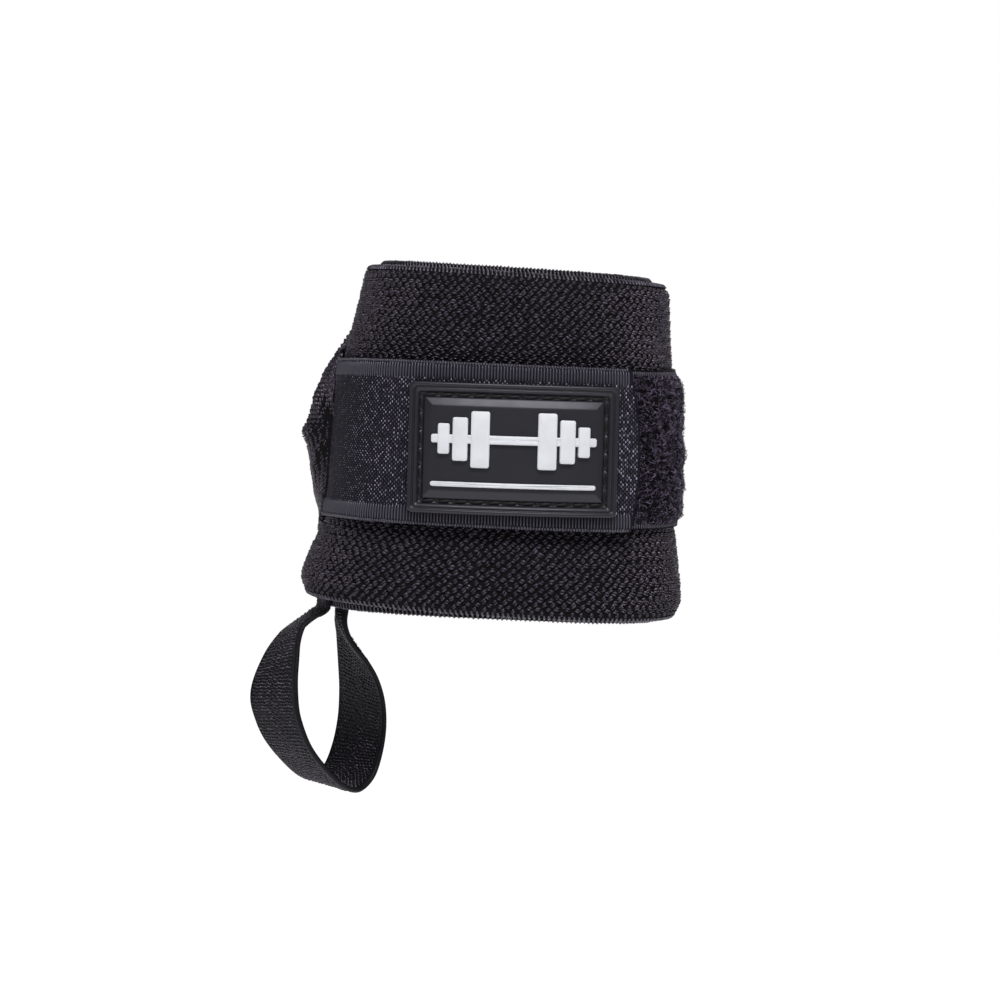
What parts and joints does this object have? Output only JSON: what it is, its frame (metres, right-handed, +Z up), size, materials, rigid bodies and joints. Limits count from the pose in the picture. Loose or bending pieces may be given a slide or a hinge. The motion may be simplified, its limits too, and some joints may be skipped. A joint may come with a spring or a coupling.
{
  "type": "wrist wrap",
  "caption": "Elastic weightlifting wrist wrap in its worn form: a wide knitted band wound round the wrist, closed by a hook strap, with a thumb loop and a moulded rubber patch.",
  "frame": {"origin": "middle of the hollow that the wrist fills, at half the band's height", "axes": "+Z up the forearm along the wrap, -Y out of the back of the hand, -X towards the thumb"},
  "size_m": [0.1036, 0.0682, 0.1295],
  "materials": {
    "knit": "thick black elastic knit in slanted stitches",
    "hook_tape": "woven black tape with ribbed edges and small glossy dots",
    "loop_pile": "dense black loop pile, lumpy",
    "narrow_elastic": "narrow black woven elastic with rolled edges",
    "patch_rubber": "moulded matt black rubber",
    "emblem": "off-white rubber, satin"
  },
  "bodies": {
    "root": {"elastic_band": "knit", "closure_strap": "hook_tape", "loop_patch": "loop_pile", "thumb_loop": "narrow_elastic", "rubber_patch": "patch_rubber", "emblem_barbell": "emblem", "emblem_rule": "emblem"}
  },
  "joints": []
}
